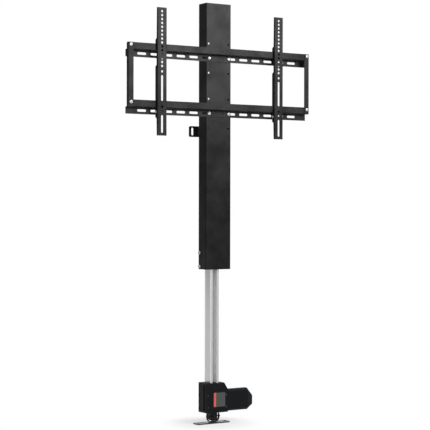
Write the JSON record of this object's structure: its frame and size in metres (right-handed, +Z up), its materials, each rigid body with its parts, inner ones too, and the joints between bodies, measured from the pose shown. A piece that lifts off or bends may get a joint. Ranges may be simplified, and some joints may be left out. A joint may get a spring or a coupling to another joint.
{
  "type": "electric tv lift",
  "caption": "Motorised floor-standing lift: a slotted aluminium mast on a clevis foot, a geared motor, and a sliding sheet-metal column with a slotted screen frame and hook-on arms.",
  "frame": {"origin": "on the floor under the middle of the foot plate, below the mast axis", "axes": "+Z up along the mast, -Y towards the side the screen is on, +X along the screen frame towards the motor"},
  "size_m": [0.725, 0.1135, 1.4475],
  "materials": {
    "powder_black": "satin black powder coat with a fine grain",
    "black_plastic": "matte black moulded plastic",
    "zinc_steel": "bright zinc plate",
    "blackened_steel": "chemically blackened steel screws",
    "plain_steel": "ground steel, oiled",
    "rail_aluminium": "satin anodised extrusion",
    "gear_brass": "machined bronze",
    "buffer_rubber": "black rubber"
  },
  "bodies": {
    "mast": {"clevis_lug": "powder_black", "clevis_pin": "zinc_steel", "pin_clip": "zinc_steel", "gearbox_front": "black_plastic", "gearbox_rear": "black_plastic", "gearbox_screws": "blackened_steel", "motor_cover": "black_plastic", "cover_screws": "blackened_steel", "power_inlet": "black_plastic", "motor_can": "plain_steel", "worm_shaft": "plain_steel", "upper_bearing": "plain_steel", "lower_bearing": "plain_steel", "guide_rail": "rail_aluminium", "top_guide": "black_plastic", "spindle_bush": "gear_brass", "guide_screws": "zinc_steel", "wall_bracket": "powder_black", "wall_bracket_screws": "zinc_steel"},
    "foot": {"foot_plate": "powder_black", "foot_yoke": "powder_black", "yoke_rivets": "zinc_steel"},
    "spindle": {"spindle": "plain_steel", "worm_wheel": "gear_brass"},
    "column": {"column": "powder_black", "column_cap": "powder_black", "top_buffer": "buffer_rubber", "cap_screws": "zinc_steel", "carriage_bracket": "powder_black", "slider_block": "black_plastic", "spindle_nut": "gear_brass", "slider_screws": "zinc_steel", "carriage_bolts": "zinc_steel", "carriage_nuts": "zinc_steel", "upper_rail": "powder_black", "lower_rail": "powder_black", "rail_screws": "zinc_steel", "rail_nuts": "zinc_steel", "left_end_bar": "powder_black", "right_end_bar": "powder_black", "end_bar_screws": "zinc_steel"},
    "left_arm": {"left_arm": "powder_black", "left_lock_bolt": "zinc_steel", "left_lock_nut": "zinc_steel"},
    "right_arm": {"right_arm": "powder_black", "right_lock_bolt": "zinc_steel", "right_lock_nut": "zinc_steel"}
  },
  "joints": [
    {"name": "lift", "type": "slide", "parent": "mast", "child": "column", "axis": [0, 0, 1], "range_m": [-0.385, 0.326]},
    {"name": "spindle_turn", "type": "hinge", "parent": "mast", "child": "spindle", "pos_m": [0, 0, 0.5], "axis": [0, 0, 1], "continuous": true},
    {"name": "foot_tilt", "type": "hinge", "parent": "mast", "child": "foot", "pos_m": [0, 0, 0.024], "axis": [1, 0, 0], "range_deg": [-8, 8]},
    {"name": "left_arm_slide", "type": "slide", "parent": "column", "child": "left_arm", "axis": [1, 0, 0], "range_m": [-0.063, 0.137]},
    {"name": "right_arm_slide", "type": "slide", "parent": "column", "child": "right_arm", "axis": [1, 0, 0], "range_m": [-0.129, 0.071]}
  ],
  "couplings": [
    {"joint": "spindle_turn", "follows": "lift", "rad_per_m": -628.32}
  ]
}
